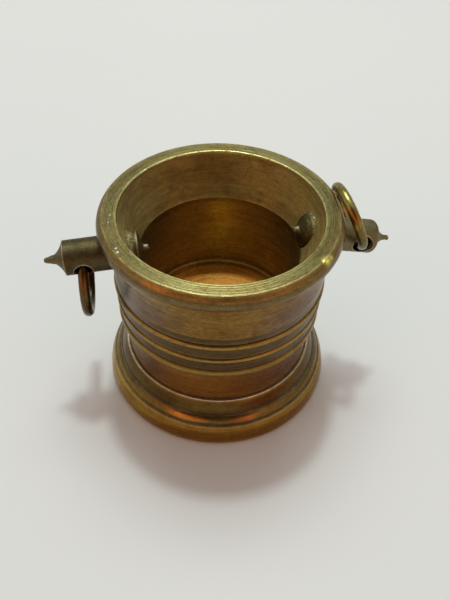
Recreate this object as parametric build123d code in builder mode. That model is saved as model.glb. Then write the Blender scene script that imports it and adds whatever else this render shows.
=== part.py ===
from build123d import *
import os
from math import cos, radians, sin, sqrt

# Small turned brass cup with two cross-drilled rod lugs and a loose wire ring in each lug.
# Frame: origin on the cup's axis at its underside, +Z up, the two lugs along -X and +X.

os.makedirs("parts", exist_ok=True)

# ---- Driving dimensions (mm) ----
body_height = 32.7
mouth_radius = 15.0        # inside the rim
face_radius = 17.25        # outer edge of the flat rim face
rim_radius = 18.07         # fullest part of the rim
drum_radius = 16.1         # upper drum just above the beads
drum_flare = 0.52          # the drum is this much wider under the rim
lower_drum_radius = 15.05  # below the beads
foot_radius = 18.33        # fullest part of the base band
step_radius = 12.2         # where the mouth's funnel meets the straight bore
bore_radius = 12.1
mouth_depth = 6.85         # from the rim to the step
bore_floor = 12.0          # height of the cup's floor
floor_corner = 0.5
arris = 0.15               # broken edges

lug_radius = 2.62
lug_depth = 6.0            # lug axis below the rim where it meets the wall
wall_radius = 16.5         # the lug's stations are counted from here, outwards
wire_radius = 0.78
ring_seam = 1.2            # degrees left open where the wire's two ends meet

lug_height = body_height - lug_depth


def at(radius, depth):
    """A point of the cup's outline, its depth counted down from the rim face."""
    return (radius, body_height - depth)


# ---- Lines of the two lugs ----
class LugLine:
    """The axis of one lug: where it meets the wall, and how it runs outwards from there."""

    def __init__(self, side, droop):
        self.side = side
        self.out = Vector(side * cos(radians(droop)), 0, -sin(radians(droop)))
        self.up = Vector(side * sin(radians(droop)), 0, cos(radians(droop)))
        self.wall = Vector(side * wall_radius, 0, lug_height)
        self.axis = Axis(self.wall, self.out)
        self.section = Plane(self.wall, x_dir=self.out, z_dir=self.out.cross(self.up))

    def point(self, station, rise=0.0):
        return self.wall + self.out * station + self.up * rise


left_line = LugLine(side=-1, droop=3.4)
right_line = LugLine(side=1, droop=12.2)


# ---- Cup: one turned piece, solid under its floor ----
with BuildPart() as cup_body:
    with BuildSketch(Plane.XZ):
        with BuildLine():
            # underside and bulging base band, fullest just above the underside
            Line((0, 0), (17.95, 0))
            ThreePointArc((17.95, 0), (18.23, 0.44), (foot_radius, 0.95))
            ThreePointArc((foot_radius, 0.95), (18.14, 2.32), (17.6, 3.72))
            # rounded shoulder, then the sloping band, each behind a narrow ledge
            Line((17.6, 3.72), (17.35, 3.82))
            ThreePointArc((17.35, 3.82), (17.08, 4.5), (16.5, 5.15))
            Line((16.5, 5.15), (16.3, 5.2))
            ThreePointArc((16.3, 5.2), (15.85, 6.3), (15.25, 7.35))
            Line((15.25, 7.35), (15.18, 7.45))
            Line((15.18, 7.45), (14.8, 7.47))
            # lower drum, flaring slightly up to the lowest bead
            ThreePointArc((14.8, 7.47), (14.92, 10.9), (lower_drum_radius, 13.75))
            Line((lower_drum_radius, 13.75), at(15.6, 18.8))
            # three beads with flat bands between them and a fine groove over each
            ThreePointArc(at(15.6, 18.8), at(16.02, 18.05), at(15.75, 17.15))
            Line(at(15.75, 17.15), at(15.82, 17.0))
            Line(at(15.82, 17.0), at(15.86, 15.45))
            Line(at(15.86, 15.45), at(15.76, 15.35))
            ThreePointArc(at(15.76, 15.35), at(16.12, 14.9), at(15.8, 14.35))
            Line(at(15.8, 14.35), at(15.93, 14.22))
            Line(at(15.93, 14.22), at(15.98, 12.4))
            Line(at(15.98, 12.4), at(15.88, 12.3))
            ThreePointArc(at(15.88, 12.3), at(16.36, 11.8), at(15.95, 11.2))
            Line(at(15.95, 11.2), at(drum_radius, 11.0))
            # upper drum and the hollow under the rim
            Line(at(drum_radius, 11.0), at(drum_radius + drum_flare, 3.7))
            ThreePointArc(at(drum_radius + drum_flare, 3.7), at(16.9, 2.95), at(17.5, 2.6))
            Line(at(17.5, 2.6), at(17.9, 2.3))
            # rim: side band, rounded shoulder and flat face
            ThreePointArc(at(17.9, 2.3), at(rim_radius, 1.6), at(rim_radius - 0.09, 0.95))
            ThreePointArc(at(rim_radius - 0.09, 0.95), at(17.74, 0.45), at(face_radius, 0))
            Line(at(face_radius, 0), at(mouth_radius + arris, 0))
            Line(at(mouth_radius + arris, 0), at(mouth_radius, arris))
            # mouth funnel, a little hollow, down to the step
            ThreePointArc(at(mouth_radius, arris), at(13.85, 3.7), at(step_radius, mouth_depth))
            Line(at(step_radius, mouth_depth), at(bore_radius, mouth_depth + arris))
            # straight bore and flat floor
            Line(at(bore_radius, mouth_depth + arris), (bore_radius, bore_floor + floor_corner))
            RadiusArc(
                (bore_radius, bore_floor + floor_corner),
                (bore_radius - floor_corner, bore_floor),
                floor_corner,
            )
            Line((bore_radius - floor_corner, bore_floor), (0, bore_floor))
            Line((0, bore_floor), (0, 0))
        make_face()
    revolve(axis=Axis.Z)
    # holes through the wall in which the lugs are a tight fit
    for line in (left_line, right_line):
        with BuildSketch(Plane(line.point(-6), z_dir=line.out)):
            Circle(lug_radius)
        extrude(amount=9, mode=Mode.SUBTRACT)


# ---- Lugs: rod turned to a cone and a nib at each end, left as it was parted off ----
def hole_direction(turn, tilt):
    """Direction of a cross-hole towards -Y, turned in plan and tilted up at its near end."""
    flat = cos(radians(tilt))
    return Vector(-sin(radians(turn)) * flat, -cos(radians(turn)) * flat, sin(radians(tilt)))


# left hole: near the lug's middle; right hole: near its end; both are drilled a little below
# the lug's axis, and neither quite square
left_hole_centre = left_line.point(3.85, rise=-0.35)
left_hole_radius = 1.33
left_hole = hole_direction(turn=3, tilt=-15)
right_hole_centre = right_line.point(5.1, rise=-0.15)
right_hole_radius = 1.45
right_hole = hole_direction(turn=-4, tilt=4)


def drill(centre, radius, direction):
    """Cut a cross-hole through the lug that is being built."""
    with BuildSketch(Plane(centre, z_dir=direction)) as hole:
        Circle(radius)
    extrude(hole.sketch, amount=1.5 * lug_radius, both=True, mode=Mode.SUBTRACT)


with BuildPart() as left_lug:
    with BuildSketch(left_line.section):
        with BuildLine():
            # inner end, inside the cup
            Line((-5.8, 0), (-5.8, 0.3))
            Line((-5.8, 0.3), (-5.65, 0.45))
            Line((-5.65, 0.45), (-5.05, 0.5))
            Line((-5.05, 0.5), (-4.42, 2.35))
            Line((-4.42, 2.35), (-4.3, lug_radius))
            # shank and outer end: sharp edge, hollow cone, tapering nib
            Line((-4.3, lug_radius), (6.55, lug_radius))
            Line((6.55, lug_radius), (6.65, 2.5))
            ThreePointArc((6.65, 2.5), (7.25, 1.4), (7.9, 0.72))
            Line((7.9, 0.72), (9.25, 0.42))
            Line((9.25, 0.42), (9.5, 0.28))
            Line((9.5, 0.28), (9.55, 0))
            Line((9.55, 0), (-5.8, 0))
        make_face()
    revolve(axis=left_line.axis)
    drill(left_hole_centre, left_hole_radius, left_hole)

with BuildPart() as right_lug:
    with BuildSketch(right_line.section):
        with BuildLine():
            # inner end, inside the cup
            Line((-5.5, 0), (-5.5, 0.38))
            Line((-5.5, 0.38), (-5.35, 0.52))
            Line((-5.35, 0.52), (-4.85, 0.6))
            Line((-4.85, 0.6), (-4.2, 2.15))
            Line((-4.2, 2.15), (-3.65, lug_radius))
            # shank and outer end: rounded edge, blunt cone, short nib with a burr at its tip
            Line((-3.65, lug_radius), (6.9, lug_radius))
            ThreePointArc((6.9, lug_radius), (7.45, 2.5), (7.75, 2.2))
            ThreePointArc((7.75, 2.2), (8.4, 1.2), (9.4, 0.45))
            Line((9.4, 0.45), (10.15, 0.36))
            Line((10.15, 0.36), (10.27, 0.42))
            Line((10.27, 0.42), (10.4, 0.34))
            Line((10.4, 0.34), (10.4, 0))
            Line((10.4, 0), (-5.5, 0))
        make_face()
    revolve(axis=right_line.axis)
    drill(right_hole_centre, right_hole_radius, right_hole)

# ---- Solder: a fillet round each lug's inner end, against the mouth's funnel ----
def solder_fillet(line, lug, reach, foot_station, width):
    """Collar that tapers along the lug, trimmed to the space inside the cup."""
    with BuildPart() as fillet_part:
        with BuildSketch(line.section):
            with BuildLine():
                Line((reach, lug_radius), (foot_station, lug_radius))
                Line((foot_station, lug_radius), (foot_station, lug_radius + width))
                ThreePointArc(
                    (foot_station, lug_radius + width),
                    ((reach + foot_station) / 2, lug_radius + 0.35 * width),
                    (reach, lug_radius),
                )
            make_face()
        revolve(axis=line.axis)
        add(cup_body.part, mode=Mode.SUBTRACT)
        add(lug.part, mode=Mode.SUBTRACT)
    return fillet_part


left_solder = solder_fillet(left_line, left_lug, reach=-3.8, foot_station=-1.6, width=2.2)
right_solder = solder_fillet(right_line, right_lug, reach=-3.5, foot_station=-1.2, width=2.4)


# ---- Rings: wire bent round through each cross-hole, its ends butted together ----
def wire_ring(hinge, direction, towards, radius, seam_angle):
    """A ring through the hinge point, lying in the plane of the hole and of 'towards'."""
    radial = (towards - direction * towards.dot(direction)).normalized()
    normal = direction.cross(radial)
    # half of the wire's bow inside the hole is left each side of the hinge axis
    bow = radius - sqrt(radius**2 - lug_radius**2)
    centre = hinge + radial * (radius - bow / 2)
    seam = radial.rotate(Axis((0, 0, 0), normal), seam_angle)
    with BuildPart() as ring_part:
        with BuildSketch(Plane(centre + seam * radius, x_dir=seam, z_dir=normal.cross(seam))):
            Circle(wire_radius)
        revolve(axis=Axis(centre, normal), revolution_arc=360 - ring_seam)
    return ring_part


# the left ring hangs straight down, resting low in its hole
left_hinge = left_hole_centre + Vector(-0.15, 0, -0.1)
left_ring = wire_ring(left_hinge, left_hole, Vector(0, 0, -1), radius=5.45, seam_angle=60)

# the right ring is turned up and leans back against the rim
right_lean = 20.6
right_hinge = right_hole_centre + Vector(-0.2, 0, -0.12)
lean_direction = Vector(-sin(radians(right_lean)), 0, cos(radians(right_lean)))
right_ring = wire_ring(right_hinge, right_hole, lean_direction, radius=4.75, seam_angle=75)

# ---- Export ----
parts = {
    "cup_body": cup_body,
    "left_lug": left_lug,
    "right_lug": right_lug,
    "left_solder": left_solder,
    "right_solder": right_solder,
    "left_ring": left_ring,
    "right_ring": right_ring,
}
for name, piece in parts.items():
    piece.part.label = name
    export_step(piece.part, f"parts/{name}.step")
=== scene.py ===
import math

import bmesh
import bpy
import numpy as np
from mathutils import Matrix, Vector, noise


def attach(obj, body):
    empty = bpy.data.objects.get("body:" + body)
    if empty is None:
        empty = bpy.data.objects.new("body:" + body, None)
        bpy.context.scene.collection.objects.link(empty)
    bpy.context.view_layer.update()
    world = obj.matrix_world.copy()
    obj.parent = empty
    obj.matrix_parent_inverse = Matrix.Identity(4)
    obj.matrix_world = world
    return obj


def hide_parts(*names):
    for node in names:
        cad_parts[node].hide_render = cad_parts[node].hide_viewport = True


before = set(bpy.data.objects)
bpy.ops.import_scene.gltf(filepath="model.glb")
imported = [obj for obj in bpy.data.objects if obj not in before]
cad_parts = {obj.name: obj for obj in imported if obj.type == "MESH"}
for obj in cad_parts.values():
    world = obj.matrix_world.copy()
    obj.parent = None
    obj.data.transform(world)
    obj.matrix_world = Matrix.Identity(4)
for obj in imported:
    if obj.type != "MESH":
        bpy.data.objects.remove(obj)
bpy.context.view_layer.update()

# Lengths are in millimetres until a mesh is made, and in metres from there on.
MM = 0.001
RIM = 32.7
MOUTH_RADIUS = 15.0
LUG_RADIUS = 2.62
LUG_HOLE_RADIUS = 2.65
WALL_RADIUS = 16.5
LUG_HEIGHT = RIM - 6.0
WIRE_RADIUS = 0.78
RING_SEAM = 1.2  # degrees left open where the wire's two ends meet


# ---------------------------------------------------------------- outlines
class Outline:
    """Outline of a turned piece as (radius, height) points, each with the finish of its stretch."""

    def __init__(self, radius, height, finish):
        self.points = [(radius, height)]
        self.finish = [finish]

    def line(self, radius, height, finish, step):
        r0, z0 = self.points[-1]
        count = max(1, round(math.hypot(radius - r0, height - z0) / step))
        for i in range(1, count + 1):
            t = i / count
            self.points.append((r0 + (radius - r0) * t, z0 + (height - z0) * t))
            self.finish.append(finish)
        return self

    def arc(self, via, to, finish, step=0.12):
        """Arc from the last point through 'via' to 'to'."""
        (ax, ay), (bx, by), (cx, cy) = self.points[-1], via, to
        d = 2 * (ax * (by - cy) + bx * (cy - ay) + cx * (ay - by))
        a2, b2, c2 = ax * ax + ay * ay, bx * bx + by * by, cx * cx + cy * cy
        ux = (a2 * (by - cy) + b2 * (cy - ay) + c2 * (ay - by)) / d
        uy = (a2 * (cx - bx) + b2 * (ax - cx) + c2 * (bx - ax)) / d
        start = math.atan2(ay - uy, ax - ux)
        middle = (math.atan2(by - uy, bx - ux) - start) % (2 * math.pi)
        sweep = (math.atan2(cy - uy, cx - ux) - start) % (2 * math.pi)
        if middle > sweep:
            sweep -= 2 * math.pi
        radius = math.hypot(ax - ux, ay - uy)
        count = max(2, round(abs(sweep) * radius / step))
        for i in range(1, count + 1):
            angle = start + sweep * i / count
            self.points.append((ux + radius * math.cos(angle), uy + radius * math.sin(angle)))
            self.finish.append(finish)
        return self

    def arrays(self):
        """Points, unit normals (to the left of the way the outline runs) and length along the outline."""
        points = np.array(self.points)
        tangent = np.gradient(points, axis=0)
        tangent /= np.linalg.norm(tangent, axis=1)[:, None]
        normal = np.stack([tangent[:, 1], -tangent[:, 0]], axis=1)
        steps = np.linalg.norm(np.diff(points, axis=0), axis=1)
        return points, normal, np.concatenate([[0], np.cumsum(steps)])


def averaged(values, length, width):
    """Values along an outline, each averaged with its neighbours over 'width'."""
    weight = np.exp(-0.5 * ((length[:, None] - length[None, :]) / width) ** 2)
    weight = weight * np.gradient(length)[None, :]
    return (weight / weight.sum(axis=1, keepdims=True)) @ values


def ripple(seed, angle, along, reach):
    """Smooth unevenness about -1 to 1, closed round the axis; 'reach' is its rate along the outline."""
    waves, usual_sum = 7, 2.2
    rng = np.random.default_rng(seed)
    total = np.zeros(np.broadcast(angle, along).shape)
    for i in range(waves):
        turns, slant, start = rng.integers(1, 7), rng.uniform(-1, 1), rng.uniform(0, 6.28)
        total += np.cos(turns * angle + along * reach * slant + start) / (1 + 0.4 * i)
    return total / usual_sum


def turned_from(angle, degrees):
    """How far an angle in radians is from one in degrees, -pi to pi."""
    return (angle - math.radians(degrees) + math.pi) % (2 * math.pi) - math.pi


def on_cup(degrees, radius, height):
    """Point at an angle round the cup's axis."""
    return (radius * math.cos(math.radians(degrees)), radius * math.sin(math.radians(degrees)), height)


# ---------------------------------------------------------------- meshes
def new_object(name, verts, faces):
    mesh = bpy.data.meshes.new(name)
    mesh.from_pydata([tuple(v) for v in np.asarray(verts) * MM], [], faces)
    mesh.validate()
    obj = bpy.data.objects.new(name, mesh)
    bpy.context.scene.collection.objects.link(obj)
    return obj


def face_outwards(mesh):
    bm = bmesh.new()
    bm.from_mesh(mesh)
    bmesh.ops.recalc_face_normals(bm, faces=bm.faces)
    bm.to_mesh(mesh)
    bm.free()


def swept_round(name, grid):
    """Closed mesh from a grid of points [outline, angle]; its first and last rows become one point each."""
    rows, columns, _ = grid.shape
    verts = list(grid[1:-1].reshape(-1, 3))
    first, last = len(verts), len(verts) + 1
    verts += [grid[0, 0], grid[-1, 0]]
    base = (rows - 3) * columns
    faces = []
    for i in range(rows - 3):
        for j in range(columns):
            k = (j + 1) % columns
            faces.append((i * columns + j, i * columns + k, (i + 1) * columns + k, (i + 1) * columns + j))
    for j in range(columns):
        k = (j + 1) % columns
        faces.append((first, k, j))
        faces.append((last, base + j, base + k))
    obj = new_object(name, verts, faces)
    face_outwards(obj.data)
    return obj


def cut(obj, cutter):
    """Takes cutter's solid out of obj, and removes cutter."""
    modifier = obj.modifiers.new("cut", "BOOLEAN")
    modifier.operation = "DIFFERENCE"
    modifier.solver = "EXACT"
    modifier.object = cutter
    bpy.context.view_layer.update()
    graph = bpy.context.evaluated_depsgraph_get()
    mesh = bpy.data.meshes.new_from_object(obj.evaluated_get(graph), depsgraph=graph)
    obj.modifiers.clear()
    uncut, cutter_mesh = obj.data, cutter.data
    obj.data = mesh
    mesh.name = obj.name
    bpy.data.meshes.remove(uncut)
    bpy.data.objects.remove(cutter)
    bpy.data.meshes.remove(cutter_mesh)


def spool(name, origin, axis, outline):
    """Solid of revolution for cutting: outline is (distance along axis, radius) pairs."""
    segments = 96
    axis = Vector(axis).normalized()
    side = axis.orthogonal().normalized()
    up = axis.cross(side)
    grid = []
    for along, radius in [(outline[0][0], 0)] + outline + [(outline[-1][0], 0)]:
        row = []
        for j in range(segments):
            a = 2 * math.pi * j / segments
            row.append(Vector(origin) + axis * along + (side * math.cos(a) + up * math.sin(a)) * radius)
        grid.append(row)
    return swept_round(name, np.array(grid, float))


def positions(obj):
    co = np.zeros(len(obj.data.vertices) * 3)
    obj.data.vertices.foreach_get("co", co)
    return co.reshape(-1, 3) / MM


def put(obj, name, values):
    """Stores values on obj's points, as numbers or as vectors."""
    values = np.asarray(values, np.float32)
    kind = "FLOAT" if values.ndim == 1 else "FLOAT_VECTOR"
    attribute = obj.data.attributes.new(name, kind, "POINT")
    attribute.data.foreach_set("value" if values.ndim == 1 else "vector", values.ravel())


def soften(obj, degrees):
    obj.data.shade_smooth()
    obj.data.set_sharp_from_angle(angle=math.radians(degrees))


# ---------------------------------------------------------------- material graphs
class Graph:
    """Short names for building a procedural material."""

    def __init__(self, name):
        self.material = bpy.data.materials.new(name)
        self.material.use_nodes = True
        self.nodes = self.material.node_tree.nodes
        self.links = self.material.node_tree.links
        self.nodes.clear()

    def add(self, kind, inputs=None, **settings):
        node = self.nodes.new(kind)
        for key, value in settings.items():
            setattr(node, key, value)
        for key, value in (inputs or {}).items():
            if isinstance(value, bpy.types.NodeSocket):
                self.links.new(value, node.inputs[key])
            else:
                node.inputs[key].default_value = value
        return node

    def number(self, name):
        return self.add("ShaderNodeAttribute", attribute_name=name).outputs["Fac"]

    def vector(self, name):
        return self.add("ShaderNodeAttribute", attribute_name=name).outputs["Vector"]

    def place(self):
        """Position on the piece in millimetres."""
        object_place = self.add("ShaderNodeTexCoord").outputs["Object"]
        return self.stretch(object_place, (1 / MM, 1 / MM, 1 / MM))

    def stretch(self, vector, factors):
        node = self.add("ShaderNodeVectorMath", {0: vector, 1: factors}, operation="MULTIPLY")
        return node.outputs[0]

    def noise(self, vector, scale=1.0, detail=3.0, roughness=0.55, distortion=0.0):
        inputs = {"Vector": vector, "Scale": scale, "Detail": detail}
        inputs |= {"Roughness": roughness, "Distortion": distortion}
        return self.add("ShaderNodeTexNoise", inputs).outputs["Fac"]

    def distance(self, place, point):
        node = self.add("ShaderNodeVectorMath", {0: place, 1: point}, operation="DISTANCE")
        return node.outputs["Value"]

    def span(self, value, low, high, to_low=0.0, to_high=1.0):
        """Value from low..high to to_low..to_high, smoothly and without going past them."""
        if low > high:
            low, high, to_low, to_high = high, low, to_high, to_low
        node = self.add(
            "ShaderNodeMapRange",
            {"Value": value, "From Min": low, "From Max": high, "To Min": to_low, "To Max": to_high},
            interpolation_type="SMOOTHSTEP",
        )
        return node.outputs["Result"]

    def math(self, operation, a, b=0.0, clamp=False):
        return self.add("ShaderNodeMath", {0: a, 1: b}, operation=operation, use_clamp=clamp).outputs[0]

    def mix(self, factor, a, b, how="MIX"):
        node = self.add("ShaderNodeMix", data_type="RGBA", blend_type=how)
        for socket, value in ((node.inputs[0], factor), (node.inputs[6], a), (node.inputs[7], b)):
            if isinstance(value, bpy.types.NodeSocket):
                self.links.new(value, socket)
            elif isinstance(value, tuple):
                socket.default_value = (*value, 1)
            else:
                socket.default_value = value
        return node.outputs[2]

    def filtered(self, factor, colour, mixed_colour):
        """Colour, multiplied by the mixed colour where factor is 1."""
        return self.mix(factor, colour, self.mix(1.0, colour, mixed_colour, "MULTIPLY"))

    def bump(self, height, depth, normal=None):
        inputs = {"Height": height, "Distance": depth * MM, "Strength": 1.0}
        if normal is not None:
            inputs["Normal"] = normal
        return self.add("ShaderNodeBump", inputs).outputs["Normal"]

    def metal(self, colour, roughness, normal, stretch=0.0, across=0.0, tangent=None):
        inputs = {"Base Color": colour, "Roughness": roughness, "Normal": normal, "Metallic": 1.0}
        inputs["Anisotropic"] = stretch
        inputs["Anisotropic Rotation"] = across
        if tangent is not None:
            inputs["Tangent"] = tangent
        shader = self.add("ShaderNodeBsdfPrincipled", inputs)
        output = self.add("ShaderNodeOutputMaterial", {"Surface": shader.outputs[0]})
        output.target = "ALL"
        return self.material


# ---------------------------------------------------------------- cup
# Reflectance of each finish, from rubbed bright brass to brown tarnish; a few carry painted light and shade,
# as marked.
TINTS = {
    "under": (0.25, 0.16, 0.06),
    "foot": (0.27, 0.135, 0.022),
    "ledge": (0.34, 0.27, 0.17),
    # near white: a painted highlight line on the lip
    "lip": (0.92, 0.84, 0.74),
    "slope": (0.11, 0.068, 0.019),
    "lower": (0.38, 0.18, 0.031),
    # dark: painted shade under the lowest bead
    "under bead": (0.09, 0.045, 0.012),
    "bead": (0.24, 0.15, 0.03),
    "band": (0.12, 0.08, 0.034),
    "drum": (0.275, 0.17, 0.042),
    "hollow": (0.13, 0.085, 0.038),
    "side": (0.13, 0.09, 0.042),
    "seam": (0.05, 0.028, 0.012),
    "shoulder": (0.22, 0.145, 0.048),
    "face": (0.25, 0.215, 0.085),
    "edge": (0.36, 0.32, 0.15),
    # rubbed bright, and raised further as a painted highlight line
    "arris": (0.68, 0.76, 0.36),
    "funnel": (0.42, 0.33, 0.12),
    "bore": (0.45, 0.41, 0.18),
    "corner": (0.50, 0.28, 0.07),
    "floor": (0.86, 0.40, 0.08),
}

# Depth of the turning marks in the mesh.
MARK_DEPTHS = {"face": 0.011, "floor": 0.006, "funnel": 0.006, "under": 0.006, "bore": 0.003}
RUBBED_DEPTH = 0.0025

# Roughness that each finish adds, and how strong the turning marks are in its material.
SURFACES = {
    "face": (0.05, 0.85),
    "funnel": (0.30, 0.5),
    "bore": (0.08, 0.6),
    "floor": (0.18, 0.6),
    "drum": (0.04, 0.85),
    "shoulder": (0.14, 0.6),
    "side": (0.0, 0.5),
    "bead": (0.06, 0.4),
    "band": (0.0, 0.5),
    "lower": (0.0, 0.3),
    "slope": (-0.06, 0.35),
    "foot": (-0.04, 0.3),
    "under": (0.1, 0.4),
}

# Patches of other colours, many of them painted light and shade, as marked: angle in degrees, radius, height,
# reach round the cup and across, colour, strength.
PATCHES_AND_PAINTED_LIGHT = [
    # painted shade: the back of the cup's floor, darker orange
    (84, 6.9, 12.0, 6.0, 2.4, (0.50, 0.22, 0.045), 0.7),
    (-146, 16.4, 25.5, 6.5, 3.3, (0.165, 0.115, 0.088), 0.9),
    (-57, 16.4, 25.0, 6.5, 3.3, (0.165, 0.105, 0.066), 0.9),
    (-127, 17.8, 32.25, 2.6, 0.42, (0.44, 0.19, 0.045), 0.9),
    (-117, 17.8, 32.25, 1.6, 0.42, (0.15, 0.07, 0.02), 0.8),
    (-107, 17.8, 32.25, 1.8, 0.42, (0.42, 0.20, 0.05), 0.8),
    (-80, 17.8, 32.25, 7.0, 0.45, (0.19, 0.095, 0.025), 0.8),
    (-48, 17.8, 32.25, 7.0, 0.5, (0.16, 0.105, 0.035), 0.8),
    (-176, 18.05, 31.4, 11.0, 1.1, (0.10, 0.085, 0.082), 0.85),
    (-132, 15.9, 6.3, 4.0, 1.0, (0.07, 0.036, 0.013), 0.8),
    (-68, 15.9, 6.3, 5.0, 1.0, (0.085, 0.022, 0.006), 0.9),
    (-104, 15.9, 6.3, 3.0, 1.0, (0.15, 0.105, 0.03), 0.7),
    # the next two: painted orange highlights on the foot's rounded shoulder
    (-116, 17.0, 4.6, 2.6, 0.6, (0.62, 0.27, 0.045), 0.8),
    (-84, 17.0, 4.6, 1.8, 0.6, (0.40, 0.11, 0.025), 0.8),
    # the next two: painted highlights on the base band at its far left and far right
    (-166, 18.2, 2.0, 9.0, 2.4, (0.50, 0.35, 0.06), 0.85),
    (-30, 18.2, 2.2, 7.0, 2.2, (0.38, 0.25, 0.045), 0.8),
    (-148, 15.0, 11.0, 6.0, 3.2, (0.15, 0.068, 0.011), 0.85),
    (-50, 15.0, 11.0, 5.0, 3.2, (0.15, 0.070, 0.012), 0.85),
    # painted highlight: a yellow streak down the back of the bore
    (80, 12.1, 20.5, 2.6, 6.5, (0.62, 0.64, 0.21), 0.75),
    # the next four: painted shade, darker along the step down into the bore
    (118, 12.5, 26.3, 7.0, 1.5, (0.24, 0.165, 0.05), 0.85),
    (66, 12.5, 26.3, 7.0, 1.5, (0.24, 0.165, 0.045), 0.85),
    (20, 12.5, 26.2, 5.0, 1.3, (0.27, 0.19, 0.055), 0.8),
    (165, 12.5, 26.2, 4.0, 1.2, (0.26, 0.20, 0.07), 0.7),
    (-70, 15.0, 11.0, 6.0, 3.0, (0.18, 0.07, 0.016), 0.7),
    # the rest: painted light on the funnel's left and right sides, painted shade at its back
    (-150, 13.6, 28.4, 6.0, 2.6, (0.66, 0.58, 0.28), 0.8),
    (-174, 13.6, 30.2, 5.0, 2.4, (0.54, 0.48, 0.22), 0.8),
    (152, 14.0, 30.4, 3.6, 2.2, (0.38, 0.32, 0.14), 0.7),
    (118, 13.6, 28.6, 5.0, 2.6, (0.29, 0.22, 0.07), 0.8),
    (84, 13.6, 29.4, 6.0, 2.8, (0.26, 0.185, 0.05), 0.85),
    (48, 13.6, 28.0, 5.0, 2.6, (0.33, 0.25, 0.075), 0.8),
    (14, 14.0, 29.8, 3.4, 2.2, (0.52, 0.38, 0.11), 0.7),
    (-12, 14.0, 29.8, 3.0, 2.0, (0.50, 0.40, 0.13), 0.6),
]

# Whitish specks stuck to the rim face: angle in degrees, radius, size.
SPECKS = [
    (-158.5, 16.6, 0.16),
    (-155.6, 16.75, 0.19),
    (-178.5, 16.2, 0.10),
    (176, 15.9, 0.09),
    (-166, 16.0, 0.08),
]


def cup_outline():
    o = Outline(0, 0, "under")
    # underside and bulging base band
    o.line(17.4, 0, "under", 1.4).line(17.95, 0, "foot", 0.15)
    o.arc((18.23, 0.44), (18.33, 0.95), "foot").arc((18.14, 2.32), (17.6, 3.72), "foot")
    # rounded shoulder and sloping band, each behind a narrow ledge
    o.line(17.35, 3.82, "ledge", 0.09).arc((17.08, 4.5), (16.5, 5.15), "slope")
    o.line(16.3, 5.2, "ledge", 0.07).arc((15.85, 6.3), (15.25, 7.35), "slope")
    # the narrow lip on top of the foot is tinted near white, a painted highlight line
    o.line(15.18, 7.45, "lip", 0.06).line(14.98, 7.46, "lip", 0.05).line(14.8, 7.47, "ledge", 0.05)
    # lower drum, then the underside of the lowest bead, tinted dark as painted shade
    o.arc((14.92, 10.9), (15.05, 13.75), "lower", 0.25).line(15.6, RIM - 18.8, "under bead", 0.12)
    # three beads, the flat bands between them and the fine groove over each
    o.arc((16.02, RIM - 18.05), (15.75, RIM - 17.15), "bead", 0.09)
    o.line(15.82, RIM - 17.0, "band", 0.06).line(15.86, RIM - 15.45, "band", 0.13)
    o.line(15.76, RIM - 15.35, "band", 0.06)
    o.arc((16.12, RIM - 14.9), (15.8, RIM - 14.35), "bead", 0.08)
    o.line(15.93, RIM - 14.22, "band", 0.06).line(15.98, RIM - 12.4, "band", 0.14)
    o.line(15.88, RIM - 12.3, "band", 0.06)
    o.arc((16.36, RIM - 11.8), (15.95, RIM - 11.2), "bead", 0.08)
    # upper drum and the hollow under the rim
    o.line(16.1, RIM - 11.0, "band", 0.08).line(16.18, RIM - 9.9, "band", 0.12)
    o.line(16.62, RIM - 3.7, "drum", 0.2)
    o.arc((16.9, RIM - 2.95), (17.5, RIM - 2.6), "hollow", 0.1).line(17.9, RIM - 2.3, "side", 0.08)
    # rim
    o.arc((18.07, RIM - 1.6), (17.98, RIM - 0.95), "side", 0.1)
    o.line(17.95, RIM - 0.85, "seam", 0.05).arc((17.74, RIM - 0.45), (17.25, RIM), "shoulder", 0.07)
    o.line(17.1, RIM, "edge", 0.05).line(15.26, RIM, "face", 0.07)
    # the inner arris: rubbed bright, and tinted paler still as a painted highlight line
    o.arc((15.08, RIM - 0.07), (15, RIM - 0.24), "arris", 0.05)
    # mouth funnel, step, bore and floor
    o.arc((13.85, RIM - 3.7), (12.2, RIM - 6.85), "funnel", 0.22)
    o.line(12.1, RIM - 7.0, "bore", 0.05).line(12.1, 12.5, "bore", 0.45)
    o.arc((11.95, 12.15), (11.6, 12.0), "corner", 0.1).line(11.0, 12.0, "corner", 0.2)
    o.line(0, 12.0, "floor", 0.45)
    return o


# Marks in the cup: angle in degrees, radius, height, half-length round the cup, half-length across, depth.
FRESH_NICKS = [
    (-44.5, 17.45, 32.55, 0.75, 0.22, 0.16),
    (-46.9, 17.15, 32.68, 0.22, 0.18, 0.14),
    (-41.2, 17.6, 32.45, 0.35, 0.16, 0.08),
]
DARK_PITS = [
    (-124.8, 16.36, 20.95, 0.16, 0.14, 0.13),
    (-117.0, 16.36, 20.90, 0.24, 0.14, 0.15),
    (-134.4, 16.36, 20.98, 0.15, 0.13, 0.11),
    (-96.0, 16.0, 14.6, 0.10, 0.2, 0.09),
]
OLD_DENTS = [
    (-64.0, 18.0, 31.5, 0.5, 0.3, 0.05),
    (38.0, 18.3, 1.2, 0.6, 0.35, 0.07),
    (152.0, 18.3, 1.0, 0.45, 0.3, 0.06),
    (-152.0, 18.0, 31.8, 0.35, 0.2, 0.06),
    (96.0, 17.5, 32.5, 0.3, 0.2, 0.07),
]
KNOCKS = FRESH_NICKS + DARK_PITS + OLD_DENTS


def knocked_in(points, angle):
    """Depth of all knocks at grid points, given by (radius, height) and angle."""
    depth = np.zeros((len(points), len(angle)))
    for at_degrees, radius, height, along, across, deep in KNOCKS:
        round_distance = turned_from(angle, at_degrees)[None, :] * radius / along
        across_distance = np.hypot(points[:, 0] - radius, points[:, 1] - height)[:, None] / across
        depth += deep * np.exp(-(round_distance**2) - across_distance**2)
    return depth


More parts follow.
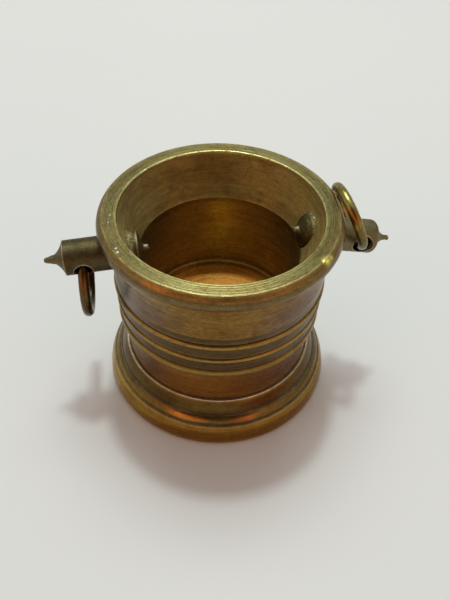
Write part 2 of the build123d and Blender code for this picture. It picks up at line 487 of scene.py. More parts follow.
def near_knocks(co, marks, reach):
    """1 in the middle of each mark, fading over 'reach' times its half-length."""
    total = np.zeros(len(co))
    for at_degrees, radius, height, along, _, _ in marks:
        away = ((co - np.array(on_cup(at_degrees, radius, height))) ** 2).sum(axis=1)
        total += np.exp(-away / (reach * along) ** 2)
    return np.clip(total, 0, 1)


def cup_angles():
    """Even angles round the cup, closer together at the lugs and at its knocks."""
    angles = list(np.arange(-180, 180, 3.0))
    angles += [a + 1.5 for a in angles if abs(a) < 24 or abs(a) > 156]
    for at_degrees, radius, _, along, _, _ in KNOCKS:
        reach = math.degrees(1.6 * along / radius)
        angles += list(np.linspace(at_degrees - reach, at_degrees + reach, 5))
    return np.radians(np.unique(np.round(angles, 2)))


def cup_mesh(outline):
    """The turned cup with its turning marks and knocks, and with the two holes for the lugs."""
    points, normal, length = outline.arrays()
    angle = cup_angles()
    # turning marks run round the cup; they are deepest on the rim face and almost rubbed away outside
    depth = np.array([MARK_DEPTHS.get(f, RUBBED_DEPTH) for f in outline.finish])
    rng = np.random.default_rng(11)
    lines = np.zeros(len(length))
    for pitch in (0.47, 0.34, 0.23, 0.18):
        lines += np.cos(2 * math.pi * length / pitch + rng.uniform(0, 6.28))
    shift = (depth * lines / 2.5)[:, None] * (1 + 0.5 * ripple(3, angle[None, :], length[:, None], 2.0))
    shift = shift + 0.008 * ripple(5, angle[None, :], length[:, None], 0.6)
    shift = shift - 0.03 - knocked_in(points, angle)
    # the underside and the axis stay where they are, and the foot moves less than the rest
    keep = np.clip(points[:, 1] / 0.4, 0, 1) * np.clip(points[:, 0] / 0.6, 0, 1)
    keep = np.where(points[:, 1] < 3.0, np.minimum(keep, 0.6), keep)
    shift = shift * keep[:, None]
    radius = points[:, 0][:, None] + normal[:, 0][:, None] * shift
    height = points[:, 1][:, None] + normal[:, 1][:, None] * shift
    grid = np.stack([radius * np.cos(angle), radius * np.sin(angle), height], axis=2)
    cup = swept_round("turned_cup", grid)
    for line in (LEFT, RIGHT):
        hole = [(-6.0, LUG_HOLE_RADIUS), (-0.6, LUG_HOLE_RADIUS)]
        cut(cup, spool("lug_hole", line.point(0), line.out, hole))
    return cup


def nearest_stations(flat, points):
    """Index of the outline's point nearest to each (radius, height), found in batches."""
    batch = 8000
    nearest = np.zeros(len(flat), int)
    for start in range(0, len(flat), batch):
        part = flat[start : start + batch]
        away = ((part[:, None, :] - points[None, :, :]) ** 2).sum(axis=2)
        nearest[start : start + batch] = away.argmin(axis=1)
    return nearest


def store_finish(cup, outline):
    """Stores what the cup's material reads on each of its points."""
    points, normal, length = outline.arrays()
    co = positions(cup)
    flat = np.stack([np.hypot(co[:, 0], co[:, 1]), co[:, 2]], axis=1)
    nearest = nearest_stations(flat, points)
    around = np.arctan2(co[:, 1], co[:, 0])
    put(cup, "turn", np.stack([np.cos(around), np.sin(around), length[nearest]], axis=1))
    mixed_colour = averaged(np.array([TINTS[f] for f in outline.finish]), length, 0.06)[nearest]
    # patches round the cup, many of them painted light and shade
    for at_degrees, r, height, along, across, colour, strength in PATCHES_AND_PAINTED_LIGHT:
        away = turned_from(around, at_degrees)
        distance = np.hypot(away * r / along, np.hypot(flat[:, 0] - r, flat[:, 1] - height) / across)
        distance = distance + 0.25 * ripple(int(height), around, co[:, 2], 7.0)
        weight = strength * np.exp(-np.clip(distance, 0, None) ** 3)[:, None]
        mixed_colour = mixed_colour * (1 - weight) + np.array(colour) * weight
    put(cup, "tint", mixed_colour)
    matt = averaged(np.array([SURFACES.get(f, (0.0, 1.0)) for f in outline.finish]), length, 0.06)
    put(cup, "matt", matt[nearest, 0])
    put(cup, "marks", matt[nearest, 1])
    # crests are rubbed, and hollows are darker, less so inside the cup
    relief = ((points - averaged(points, length, 0.28)) * normal).sum(axis=1)
    crest = np.clip(relief / 0.05, 0, 1)
    hollow = np.clip(-relief / 0.05, 0, 1)
    inside = np.array([f in ("funnel", "bore", "corner", "floor") for f in outline.finish])
    crest, hollow = np.where(inside, 0.12 * crest, crest), np.where(inside, 0.45 * hollow, hollow)
    put(cup, "crest", averaged(crest, length, 0.05)[nearest])
    put(cup, "hollow", averaged(hollow, length, 0.05)[nearest])
    put(cup, "fresh", near_knocks(co, FRESH_NICKS, 0.8))
    put(cup, "pit", near_knocks(co, DARK_PITS, 0.9))


def make_cup():
    outline = cup_outline()
    cup = cup_mesh(outline)
    store_finish(cup, outline)
    soften(cup, 40)
    cup.data.materials.clear()
    cup.data.materials.append(turned_brass())
    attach(cup, "cup")
    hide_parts("cup_body")


def turned_brass():
    g = Graph("turned_brass_aged")
    turn, place = g.vector("turn"), g.place()
    crest, hollow = g.number("crest"), g.number("hollow")
    # turning marks: fine hairlines, and broader bands between them
    hairlines = g.noise(g.stretch(turn, (5, 5, 7)), detail=4, roughness=0.65)
    bands = g.noise(g.stretch(turn, (1.6, 1.6, 1.7)), detail=4, roughness=0.6)
    blotches = g.noise(g.stretch(place, (0.28, 0.28, 0.28)), detail=5, roughness=0.6, distortion=0.4)
    grain = g.noise(place, scale=5.0, detail=3, roughness=0.7)
    # colour: tint of the finish, browner in patches, many of which are painted light and shade, redder in
    # bands, greyer where the tarnish is thick
    tint = g.vector("tint")
    colour = g.filtered(g.span(bands, 0.35, 0.7), tint, (0.90, 0.74, 0.62))
    colour = g.filtered(g.span(blotches, 0.42, 0.68, 0.0, 0.55), colour, (0.72, 0.66, 0.66))
    colour = g.filtered(g.span(hairlines, 0.3, 0.75, 0.0, 0.5), colour, (1.35, 1.32, 1.25))
    specks = g.math("MULTIPLY", g.span(grain, 0.60, 0.72), 0.5)
    colour = g.mix(specks, colour, (0.10, 0.06, 0.025))
    # rubbed bright on the edges, darker in the hollows
    rubbed = g.math("MULTIPLY", crest, g.span(grain, 0.3, 0.6, 0.35, 1.0))
    colour = g.mix(g.math("MULTIPLY", rubbed, 0.4), colour, (0.62, 0.45, 0.15))
    darker_in_hollows = g.math("MULTIPLY", hollow, g.span(bands, 0.3, 0.6, 0.7, 1.0))
    colour = g.mix(g.math("MULTIPLY", darker_in_hollows, 0.62), colour, (0.05, 0.032, 0.014))
    # coarser streaks and blotches, and darker dots, break up the broad patches
    streaks = g.noise(g.stretch(turn, (2.6, 2.6, 12)), detail=3, roughness=0.7)
    colour = g.filtered(g.span(streaks, 0.38, 0.66, 0.0, 0.45), colour, (0.62, 0.55, 0.50))
    mottle = g.noise(place, scale=1.3, detail=5, roughness=0.75, distortion=0.3)
    colour = g.filtered(g.span(mottle, 0.52, 0.66, 0.0, 0.5), colour, (0.55, 0.48, 0.42))
    colour = g.filtered(g.span(mottle, 0.42, 0.30, 0.0, 0.4), colour, (1.5, 1.45, 1.3))
    for at_degrees, r, size in SPECKS:
        away = g.distance(place, on_cup(at_degrees, r, RIM))
        away = g.math("ADD", away, g.math("MULTIPLY", g.math("SUBTRACT", grain, 0.5), 0.5))
        colour = g.mix(g.span(away, 1.4 * size, 0.5 * size), colour, (0.86, 0.85, 0.78))
    marks = g.number("marks")
    grit = g.noise(g.stretch(turn, (17, 17, 6.5)), detail=3, roughness=0.75)
    dull = g.math("MULTIPLY", marks, g.span(grit, 0.50, 0.64, 0.0, 0.7))
    colour = g.filtered(dull, colour, (0.50, 0.47, 0.42))
    shiny = g.math("MULTIPLY", marks, g.span(grit, 0.46, 0.36, 0.0, 0.7))
    colour = g.filtered(shiny, colour, (1.6, 1.6, 1.5))
    colour = g.mix(g.number("fresh"), colour, (1.0, 0.86, 0.22))
    colour = g.mix(g.number("pit"), colour, (0.04, 0.025, 0.01))
    roughness = g.math("ADD", g.span(hairlines, 0.3, 0.7, 0.20, 0.34), g.span(blotches, 0.4, 0.7, 0.0, 0.10))
    roughness = g.math("ADD", roughness, g.number("matt"))
    roughness = g.math("ADD", roughness, g.math("MULTIPLY", darker_in_hollows, 0.3), clamp=True)
    normal = g.bump(g.math("MULTIPLY", bands, marks), 0.012)
    normal = g.bump(g.math("MULTIPLY", hairlines, marks), 0.012, normal)
    normal = g.bump(g.math("MULTIPLY", grit, marks), 0.010, normal)
    normal = g.bump(grain, 0.004, normal)
    tangent = g.add("ShaderNodeTangent", direction_type="RADIAL", axis="Z").outputs[0]
    return g.metal(colour, roughness, normal, stretch=0.4, across=0.25, tangent=tangent)


# ---------------------------------------------------------------- lugs
class LugLine:
    """The axis of one lug: where it meets the wall, and how it runs outwards from there."""

    def __init__(self, side, droop):
        droop = math.radians(droop)
        self.out = Vector((side * math.cos(droop), 0, -math.sin(droop)))
        self.up = Vector((side * math.sin(droop), 0, math.cos(droop)))
        self.side = self.out.cross(self.up)
        self.wall = Vector((side * WALL_RADIUS, 0, LUG_HEIGHT))

    def point(self, station, rise=0.0):
        return self.wall + self.out * station + self.up * rise


LEFT = LugLine(-1, 3.4)
RIGHT = LugLine(1, 12.2)


def hole_direction(turn, tilt):
    """Direction of a cross-hole towards -Y, turned in plan and tilted up at its near end."""
    turn, tilt = math.radians(turn), math.radians(tilt)
    return Vector((-math.sin(turn) * math.cos(tilt), -math.cos(turn) * math.cos(tilt), math.sin(tilt)))


LEFT_HOLE = hole_direction(3, -15)
RIGHT_HOLE = hole_direction(-4, 4)
LEFT_HOLE_CENTRE = LEFT.point(3.85, -0.35)
RIGHT_HOLE_CENTRE = RIGHT.point(5.1, -0.15)


def left_lug_outline():
    o = Outline(0, -5.8, "nib").line(0.3, -5.8, "nib", 0.1).line(0.45, -5.65, "nib", 0.07)
    o.line(0.5, -5.05, "nib", 0.1).line(2.35, -4.42, "cone", 0.1).line(LUG_RADIUS, -4.3, "edge", 0.06)
    o.line(LUG_RADIUS, 6.55, "shank", 0.16).line(2.5, 6.65, "edge", 0.05)
    o.arc((1.4, 7.25), (0.72, 7.9), "cone", 0.09).line(0.42, 9.25, "nib", 0.12)
    return o.line(0.28, 9.5, "nib", 0.07).line(0, 9.55, "nib", 0.09)


def right_lug_outline():
    o = Outline(0, -5.5, "nib").line(0.38, -5.5, "nib", 0.1).line(0.52, -5.35, "nib", 0.07)
    o.line(0.6, -4.85, "nib", 0.1).line(2.15, -4.2, "cone", 0.1).line(LUG_RADIUS, -3.65, "cone", 0.09)
    o.line(LUG_RADIUS, 6.9, "shank", 0.16).arc((2.5, 7.45), (2.2, 7.75), "shank", 0.1)
    o.arc((1.2, 8.4), (0.45, 9.4), "cone", 0.09).line(0.36, 10.15, "nib", 0.1)
    return o.line(0.42, 10.27, "nib", 0.05).line(0.34, 10.4, "nib", 0.05).line(0, 10.4, "nib", 0.1)


LUG_UNEVENNESS = {"nib": 0.03, "cone": 0.02, "edge": 0.012, "shank": 0.006}


def make_lug(name, node, line, outline, hole, seed, brass, inner):
    """hole is (centre, radius, direction, flare); inner is the colour of the end in the cup."""
    points, normal, length = outline.arrays()
    angle = np.linspace(0, 2 * math.pi, 132, endpoint=False)
    rough = np.array([LUG_UNEVENNESS[f] for f in outline.finish])
    shift = rough[:, None] * ripple(seed, angle[None, :], length[:, None], 9.0)
    rng = np.random.default_rng(seed)
    lines = sum(np.cos(2 * math.pi * length / p + rng.uniform(0, 6.28)) for p in (0.55, 0.41, 0.33))
    shift = shift + 0.003 * lines[:, None] - 0.012
    shift[points[:, 0] < 0.02] = 0
    radius = np.maximum(points[:, 0][:, None] + normal[:, 0][:, None] * shift, 0)
    along = points[:, 1][:, None] + normal[:, 1][:, None] * shift
    out, up, side, wall = (np.array(v) for v in (line.out, line.up, line.side, line.wall))
    spokes = np.cos(angle)[:, None] * up + np.sin(angle)[:, None] * side
    lug = swept_round(name, wall + along[..., None] * out + radius[..., None] * spokes)
    # the cross-hole, its two edges worn wider by the ring
    centre, hole_radius, direction, flare = hole
    trumpet = [(-3.2, hole_radius + 1.7 * flare), (-2.55, hole_radius + flare), (-2.1, hole_radius)]
    trumpet += [(-along, wide) for along, wide in reversed(trumpet)]
    cut(lug, spool("cross_hole", centre, direction, trumpet))
    co = positions(lug)
    away = co - wall
    stations = away @ out
    around = np.arctan2(away @ side, away @ up)
    across = np.hypot(away @ side, away @ up)
    put(lug, "turn", np.stack([np.cos(around), np.sin(around), stations + (LUG_RADIUS - across)], axis=1))
    put(lug, "across", across)
    put(lug, "station", stations)
    soften(lug, 32)
    lug.data.materials.clear()
    shank = points[[f == "shank" for f in outline.finish], 1]
    lug.data.materials.append(rod_brass(name + "_brass", hole, shank.min(), shank.max(), brass, inner))
    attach(lug, "cup")
    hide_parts(node)


def rod_brass(name, hole, shank_start, shank_end, brass, inner):
    g = Graph(name)
    turn, place = g.vector("turn"), g.place()
    hairlines = g.noise(g.stretch(turn, (3, 3, 6)), detail=4, roughness=0.6)
    blotches = g.noise(place, scale=0.55, detail=5, roughness=0.65, distortion=0.5)
    grain = g.noise(place, scale=4.5, detail=4, roughness=0.7)
    colour = g.filtered(g.span(blotches, 0.38, 0.66), brass, (0.65, 0.57, 0.50))
    lighter = g.mix(1.0, brass, (1.3, 1.3, 1.3), "MULTIPLY")
    colour = g.mix(g.span(hairlines, 0.35, 0.75, 0.0, 0.45), colour, lighter)
    colour = g.mix(g.span(grain, 0.58, 0.7, 0.0, 0.65), colour, (0.05, 0.038, 0.02))
    colour = g.mix(g.span(grain, 0.36, 0.26, 0.0, 0.5), colour, (0.33, 0.30, 0.19))
    # browner towards the coned ends, bright where the turned edge is rubbed
    station, across = g.number("station"), g.number("across")
    cone = g.math("MULTIPLY", g.span(station, shank_end - 0.3, shank_end + 0.5), g.span(across, 2.4, 1.0))
    colour = g.mix(g.math("MULTIPLY", cone, 0.5), colour, (0.24, 0.19, 0.10))
    heated = g.span(station, -1.5, -2.6)
    mottled = g.filtered(g.span(grain, 0.40, 0.60), inner, (0.45, 0.42, 0.35))
    colour = g.mix(heated, colour, mottled)
    # painted highlight: the tip of each inner nib is made paler
    nib = g.math("MULTIPLY", heated, g.span(across, 0.85, 0.6))
    colour = g.mix(g.math("MULTIPLY", nib, 0.45), colour, (0.50, 0.45, 0.32))
    # painted shade below the inner end
    upward = g.add("ShaderNodeSeparateXYZ", {"Vector": turn}).outputs["X"]
    shade_below_end = g.math("MULTIPLY", heated, g.span(upward, 0.15, -0.5))
    colour = g.mix(g.math("MULTIPLY", shade_below_end, 0.75), colour, (0.045, 0.03, 0.014))
    from_start = g.math("ABSOLUTE", g.math("SUBTRACT", station, shank_start))
    from_end = g.math("ABSOLUTE", g.math("SUBTRACT", station, shank_end))
    edge = g.span(g.math("MINIMUM", from_start, from_end), 0.16, 0.03)
    edge = g.math("MULTIPLY", edge, g.span(grain, 0.35, 0.6, 0.2, 0.8))
    colour = g.mix(edge, colour, (0.45, 0.37, 0.18))
    # the cross-hole: painted shade inside it, its edges rubbed bright by the ring
    centre, hole_radius, direction, flare = hole
    from_hole = g.add("ShaderNodeVectorMath", {0: place, 1: tuple(centre)}, operation="SUBTRACT").outputs[0]
    dot = g.add("ShaderNodeVectorMath", {0: from_hole, 1: tuple(direction)}, operation="DOT_PRODUCT")
    deep = g.math("ABSOLUTE", dot.outputs["Value"])
    cross = g.add("ShaderNodeVectorMath", {0: from_hole, 1: tuple(direction)}, operation="CROSS_PRODUCT")
    away = g.add("ShaderNodeVectorMath", {0: cross.outputs[0]}, operation="LENGTH").outputs["Value"]
    rub = g.span(away, hole_radius + flare + 0.22, hole_radius + flare * 0.5)
    rub = g.math("MULTIPLY", rub, g.span(deep, 1.6, 1.9))
    colour = g.mix(g.math("MULTIPLY", rub, g.span(grain, 0.3, 0.6, 0.15, 0.75)), colour, (0.55, 0.50, 0.36))
    shade_in_hole = g.math("MULTIPLY", g.span(away, hole_radius + 0.10, hole_radius + 0.03), g.span(deep, 2.25, 1.7))
    colour = g.mix(g.math("MULTIPLY", shade_in_hole, 0.9), colour, (0.03, 0.02, 0.012))
    roughness = g.math("ADD", g.span(grain, 0.3, 0.7, 0.42, 0.58), g.span(hairlines, 0.4, 0.7, 0.0, 0.06))
    roughness = g.math("ADD", roughness, g.math("MULTIPLY", heated, 0.08))
    normal = g.bump(blotches, 0.03)
    normal = g.bump(hairlines, 0.012, normal)
    normal = g.bump(grain, 0.014, normal)
    return g.metal(colour, roughness, normal)


# ---------------------------------------------------------------- solder
def funnel_radius(height):
    """Radius of the mouth's funnel at a height, then of the bore below it."""
    o = Outline(MOUTH_RADIUS, RIM - 0.15, "funnel").arc((13.85, RIM - 3.7), (12.2, RIM - 6.85), "funnel", 0.1)
    pts = np.array(o.points)
    return float(np.interp(height, pts[::-1, 1], pts[::-1, 0]))


def wall_station(line, across, rho):
    """Station at which a line along the lug, rho from its axis, meets the wall of the mouth."""
    low, high = -6.0, 2.0
    for _ in range(22):
        middle = (low + high) / 2
        p = line.point(middle) + across * rho
        inside = math.hypot(p.x, p.y) < funnel_radius(min(p.z, RIM - 0.16))
        low, high = (middle, high) if inside else (low, middle)
    return (low + high) / 2


def make_solder(name, node, line, lug_end, creep, spread, half_angle, seed):
    """Thin rough skin in the corner between the lug's inner end and the funnel."""
    columns, front = 150, 12
    loops = []
    for j in range(columns):
        share = 2 * j / (columns - 1) - 1
        a = math.radians(half_angle) * share
        fade = math.sqrt(max(0.0, 1 - share**2))
        across = line.up * math.cos(a) + line.side * math.sin(a)
        uneven = 0.65 + 0.75 * noise.noise(Vector((3.1 * a, seed, 0.3)))
        wide = 0.05 + spread * fade * max(0.2, uneven)
        reach = 0.04 + creep * fade * (0.6 + 0.8 * noise.noise(Vector((2.3 * a, seed, 7.7))))
        foot = wall_station(line, across, LUG_RADIUS + wide)
        corner = wall_station(line, across, LUG_RADIUS)
        start = max(corner - reach, lug_end + 0.06)
        loop = []
        for i in range(front):
            t = i / (front - 1)
            rho = LUG_RADIUS + 0.012 + wide * t**2.2
            station = start + (foot - start) * (1 - (1 - t) ** 1.4)
            rough = noise.fractal(Vector((station * 2.6, a * 6.0, seed + 2.0 * t)), 0.8, 2.1, 3)
            lift = 0.05 * rough * math.sin(math.pi * min(1.0, t + 0.12)) * fade
            loop.append(line.point(station - max(-0.03, lift)) + across * (rho + 0.5 * max(0.0, lift)))
        loop.append(line.point(foot + 0.3) + across * (LUG_RADIUS + wide))
        loop.append(line.point(corner + 0.3) + across * (LUG_RADIUS - 0.1))
        loop.append(line.point(start + 0.1) + across * (LUG_RADIUS - 0.1))
        loops.append(loop)
    verts = [p for loop in loops for p in loop]
    size = len(loops[0])
    faces = [tuple(range(size)), tuple((columns - 1) * size + i for i in range(size))]
    for j in range(columns - 1):
        for i in range(size):
            k = (i + 1) % size
            faces.append((j * size + i, j * size + k, (j + 1) * size + k, (j + 1) * size + i))
    obj = new_object(name, verts, faces)
    face_outwards(obj.data)
    soften(obj, 60)
    obj.data.materials.append(bpy.data.materials.get("solder_rough") or solder_brass())
    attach(obj, "cup")
    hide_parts(node)


def solder_brass():
    g = Graph("solder_rough")
    place = g.place()
    lumps = g.noise(place, scale=1.6, detail=5, roughness=0.65)
    grain = g.noise(place, scale=3.6, detail=4, roughness=0.7)
    colour = g.mix(g.span(lumps, 0.35, 0.65), (0.36, 0.28, 0.11), (0.20, 0.15, 0.06))
    colour = g.mix(g.span(grain, 0.57, 0.66, 0.0, 0.85), colour, (0.72, 0.70, 0.58))
    colour = g.mix(g.span(grain, 0.44, 0.34, 0.0, 0.6), colour, (0.05, 0.04, 0.02))
    roughness = g.span(grain, 0.3, 0.7, 0.66, 0.50)
    normal = g.bump(lumps, 0.25)
    normal = g.bump(grain, 0.16, normal)
    return g.metal(colour, roughness, normal)


# ---------------------------------------------------------------- rings
def make_ring(name, node, body, hinge, direction, towards, radius, seam_degrees, seed, flat, brass, patches):
    """Wire bent round in the plane of its hole, with its two sawn ends butted together.

    hinge, direction and towards are its place in the hole, the hole's direction and the side that the ring
    hangs or leans to; flat is how far its far upper side is bent in towards the middle.
    """
    radial = (towards - direction * towards.dot(direction)).normalized()
    normal = direction.cross(radial)
    bow = radius - math.sqrt(radius**2 - LUG_RADIUS**2)
    centre = hinge + radial * (radius - bow / 2)
    third = normal.cross(radial)
    turns, sides, gap = 200, 40, math.radians(RING_SEAM)
    flat_middle, flat_reach = 114, 29
    rng = np.random.default_rng(seed)
    phase = rng.uniform(0, 6.28, 4)
    grid = np.zeros((turns + 5, sides, 3))
    along = np.zeros((turns + 5, sides))
    spread = np.concatenate([[0, 0.0004, 0.0012], np.linspace(0.004, 0.996, turns - 1), [0.9988, 0.9996, 1]])
    size = np.concatenate([[0, 0.86, 0.97], np.ones(turns - 1), [0.97, 0.86, 0]])
    for i, (t, s) in enumerate(zip(spread, size)):
        a = math.radians(seam_degrees) + gap / 2 + (2 * math.pi - gap) * t
        # the wire is not bent quite evenly, and one end springs a little out of line
        bend = 0.014 * math.sin(2 * a + phase[0]) + 0.010 * math.sin(3 * a + phase[1])
        bend -= flat * math.exp(-(math.degrees(turned_from(a, flat_middle)) / flat_reach) ** 2)
        spring = 0.05 * math.exp(-t / 0.03) - 0.04 * math.exp(-(1 - t) / 0.03)
        outward = radial * math.cos(a) + third * math.sin(a)
        middle = centre + outward * (radius + bend - 0.015) + normal * spring
        for j in range(sides):
            b = 2 * math.pi * j / sides
            dents = 0.006 * math.sin(3 * b + 17 * a + phase[2]) + 0.005 * math.sin(2 * b - 23 * a + phase[3])
            thick = (WIRE_RADIUS - 0.015 + dents) * s
            grid[i, j] = middle + (outward * math.cos(b) + normal * math.sin(b)) * thick
            along[i, j] = a * radius
    ring = swept_round(name, grid)
    length = np.concatenate([along[1:-1].reshape(-1), [along[0, 0], along[-1, 0]]])
    around = np.tile(np.linspace(0, 2 * math.pi, sides, endpoint=False), (turns + 3, 1)).reshape(-1)
    around = np.concatenate([around, [0, 0]])
    put(ring, "turn", np.stack([np.cos(around), np.sin(around), length], axis=1))
    put(ring, "ends", np.exp(-np.minimum(length - length.min(), length.max() - length) / 0.12))
    soften(ring, 50)
    ring.data.materials.clear()
    ring.data.materials.append(wire_brass(name + "_brass", brass, patches))
    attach(ring, body)
    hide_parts(node)


def wire_brass(name, brass, patches):
    """patches are (centre, reach, colour): films of other colours here and there on the wire."""
    g = Graph(name)
    turn, place = g.vector("turn"), g.place()
    draw_lines = g.noise(g.stretch(turn, (7, 7, 0.5)), detail=3, roughness=0.6)
    blotches = g.noise(place, scale=0.45, detail=4, roughness=0.6, distortion=0.6)
    grain = g.noise(place, scale=5.0, detail=3, roughness=0.65)
    colour = g.filtered(g.span(blotches, 0.40, 0.62), brass, (0.72, 0.58, 0.50))
    for centre, reach, mixed_colour in patches:
        away = g.distance(place, centre)
        away = g.math("ADD", away, g.math("MULTIPLY", g.math("SUBTRACT", blotches, 0.5), 2.5 * reach))
        colour = g.mix(g.math("MULTIPLY", g.span(away, reach, 0.5 * reach), 0.9), colour, mixed_colour)
    colour = g.filtered(g.span(draw_lines, 0.35, 0.7, 0.0, 0.5), colour, (0.7, 0.66, 0.6))
    colour = g.mix(g.span(grain, 0.60, 0.72, 0.0, 0.5), colour, (0.10, 0.06, 0.03))
    colour = g.mix(g.math("MULTIPLY", g.number("ends"), 0.9), colour, (0.06, 0.04, 0.02))
    roughness = g.math("ADD", g.span(draw_lines, 0.3, 0.7, 0.24, 0.34), g.span(grain, 0.5, 0.7, 0.0, 0.08))
    normal = g.bump(draw_lines, 0.010)
    normal = g.bump(grain, 0.005, normal)
    return g.metal(colour, roughness, normal)


# ---------------------------------------------------------------- the object
make_cup()
make_lug(
    "left_rod_lug", "left_lug", LEFT, left_lug_outline(),
    hole=(LEFT_HOLE_CENTRE, 1.33, LEFT_HOLE, 0.06), seed=21,
    brass=(0.105, 0.08, 0.036), inner=(0.17, 0.135, 0.06),
)
make_lug(
    "right_rod_lug", "right_lug", RIGHT, right_lug_outline(),
    hole=(RIGHT_HOLE_CENTRE, 1.45, RIGHT_HOLE, 0.16), seed=22,
    brass=(0.195, 0.165, 0.08), inner=(0.16, 0.125, 0.05),
)
make_solder(
    "left_solder_fillet", "left_solder", LEFT,
    lug_end=-3.75, creep=1.9, spread=0.42, half_angle=84, seed=3.1,
)
make_solder(
    "right_solder_fillet", "right_solder", RIGHT,
    lug_end=-3.5, creep=0.9, spread=0.5, half_angle=76, seed=8.2,
)
# the left ring hangs straight down, and the right one is turned up and leans back against the rim
make_ring(
    "left_wire_ring", "left_ring", "left_ring",
    hinge=LEFT_HOLE_CENTRE + Vector((-0.15, 0, -0.1)), direction=LEFT_HOLE, towards=Vector((0, 0, -1)),
    # its brass is tinted darker than the right ring's, as painted shade from the lug and rim above it
    radius=5.45, seam_degrees=60, seed=41, flat=0.7, brass=(0.13, 0.10, 0.04),
    patches=[((-20.5, -3.4, 24.0), 2.3, (0.17, 0.08, 0.028)), ((-20.3, 0.0, 15.6), 2.4, (0.13, 0.12, 0.085))],
)
lean = math.radians(20.6)
make_ring(
    "right_wire_ring", "right_ring", "right_ring",
    hinge=RIGHT_HOLE_CENTRE + Vector((-0.2, 0, -0.12)), direction=RIGHT_HOLE,
    towards=Vector((-math.sin(lean), 0, math.cos(lean))),
    radius=4.75, seam_degrees=75, seed=42, flat=0.0, brass=(0.40, 0.34, 0.10),
    patches=[((18.3, -4.1, 32.6), 1.6, (0.30, 0.14, 0.035)), ((19.8, -4.2, 28.2), 3.4, (0.14, 0.105, 0.03))],
)

# ---------------------------------------------------------------- floor, light and camera
VIEW_YAW = math.radians(11.18)
VIEW_PITCH = math.radians(45.87)
VIEW_ROLL = -0.04  # radians
CAMERA_FROM_RIM = Vector((-0.958, -5.200, 4.221)) * MOUTH_RADIUS
FLOOR_REACH = 2000
ROOM_LIGHT = (0.84, 1.0, 1.0)


def pale_floor():
    g = Graph("pale_floor")
    place = g.place()
    mottle = g.noise(place, scale=0.01, detail=3)
    colour = g.mix(mottle, (0.79, 0.76, 0.74), (0.83, 0.795, 0.775))
    shader = g.add("ShaderNodeBsdfPrincipled", {"Base Color": colour, "Roughness": 0.65})
    g.add("ShaderNodeOutputMaterial", {"Surface": shader.outputs[0]})
    return g.material


corners = [(x * FLOOR_REACH, y * FLOOR_REACH, 0) for x, y in ((-1, -1), (1, -1), (1, 1), (-1, 1))]
floor = new_object("floor", corners, [(0, 1, 2, 3)])
floor.data.materials.append(pale_floor())

# a ceiling lamp and a broad window, both from behind, in a room that is dim and warm on the near side
away_from_view = Vector((math.sin(VIEW_YAW), math.cos(VIEW_YAW), 0))
world = bpy.data.worlds.new("room")
world.use_nodes = True
bpy.context.scene.world = world
nodes, links = world.node_tree.nodes, world.node_tree.links
nodes.clear()
direction = nodes.new("ShaderNodeTexCoord").outputs["Generated"]


def raised(elevation, side=1):
    """Direction at an elevation, behind the object (side 1) or on the near side (-1)."""
    elevation = math.radians(elevation)
    return away_from_view * (side * math.cos(elevation)) + Vector((0, 0, math.sin(elevation)))


def facing(vector, low, high):
    """0 to 1 as a direction of the room comes nearer to 'vector'."""
    dot = nodes.new("ShaderNodeVectorMath")
    dot.operation = "DOT_PRODUCT"
    dot.inputs[1].default_value = vector.normalized()
    links.new(direction, dot.inputs[0])
    span = nodes.new("ShaderNodeMapRange")
    span.interpolation_type = "SMOOTHSTEP"
    span.inputs["From Min"].default_value = low
    span.inputs["From Max"].default_value = high
    links.new(dot.outputs["Value"], span.inputs["Value"])
    return span.outputs["Result"]


def blended(factor, a, b):
    mix = nodes.new("ShaderNodeMix")
    mix.data_type = "RGBA"
    links.new(factor, mix.inputs[0])
    for socket, value in ((mix.inputs[6], a), (mix.inputs[7], b)):
        if isinstance(value, tuple):
            socket.default_value = (*value, 1)
        else:
            links.new(value, socket)
    return mix.outputs[2]


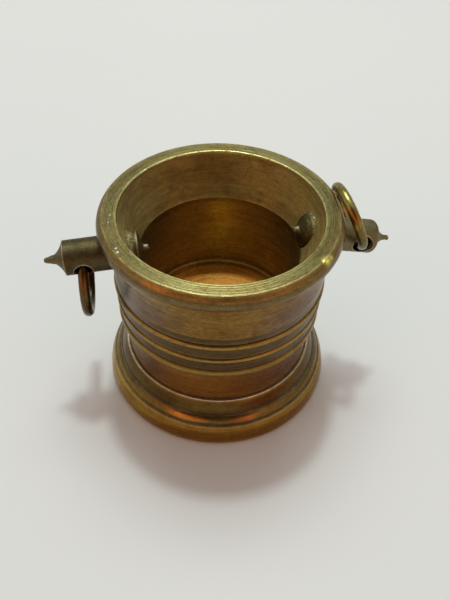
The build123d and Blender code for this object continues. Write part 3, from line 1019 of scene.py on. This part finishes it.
# the near side, pale low down and orange above, then the far side, overhead and a dark patch on the near side
near = blended(facing(raised(90), 0.18, 0.50), (0.84, 0.64, 0.53), (1.78, 0.74, 0.32))
light = blended(facing(raised(40), -0.45, 0.40), near, (0.42, 0.44, 0.435))
light = blended(facing(raised(80), 0.75, 0.97), light, (0.52, 0.56, 0.55))
light = blended(facing(raised(46, -1), 0.76, 0.93), light, (0.12, 0.08, 0.055))
background = nodes.new("ShaderNodeBackground")
links.new(light, background.inputs["Color"])
output = nodes.new("ShaderNodeOutputWorld")
links.new(background.outputs[0], output.inputs["Surface"])


def lamp(name, elevation, swing, distance, width, height, energy):
    """swing is how far, in degrees, the lamp is off to the left of the line of view; lengths in metres."""
    data = bpy.data.lights.new(name, "AREA")
    data.shape = "RECTANGLE"
    data.size = width
    data.size_y = height
    data.energy = energy
    data.color = ROOM_LIGHT
    obj = bpy.data.objects.new(name, data)
    bpy.context.scene.collection.objects.link(obj)
    place = Matrix.Rotation(math.radians(swing), 3, "Z") @ raised(elevation) * distance
    obj.matrix_world = Matrix.Translation(place) @ place.to_track_quat("Z", "Y").to_matrix().to_4x4()


lamp("ceiling_lamp", elevation=74.5, swing=6, distance=0.90, width=0.07, height=0.07, energy=2.0)
lamp("window", elevation=66, swing=4, distance=0.80, width=0.44, height=0.28, energy=1.9)

camera_data = bpy.data.cameras.new("camera")
camera_data.lens = 42
camera_data.sensor_width = 36
camera_data.clip_start = 0.001
camera_data.clip_end = 20
camera = bpy.data.objects.new("camera", camera_data)
bpy.context.scene.collection.objects.link(camera)
forward = away_from_view * math.cos(VIEW_PITCH) - Vector((0, 0, math.sin(VIEW_PITCH)))
level = forward.cross(Vector((0, 0, 1))).normalized()
down = -level.cross(forward)
right = level * math.cos(VIEW_ROLL) + down * math.sin(VIEW_ROLL)
up = level * math.sin(VIEW_ROLL) - down * math.cos(VIEW_ROLL)
turn = Matrix((right, up, -forward)).transposed().to_4x4()
camera_place = (Vector((0, 0, RIM)) + CAMERA_FROM_RIM) * MM
camera.matrix_world = Matrix.Translation(camera_place) @ turn
bpy.context.scene.camera = camera

scene = bpy.context.scene
scene.view_settings.view_transform = "Standard"
scene.view_settings.look = "None"
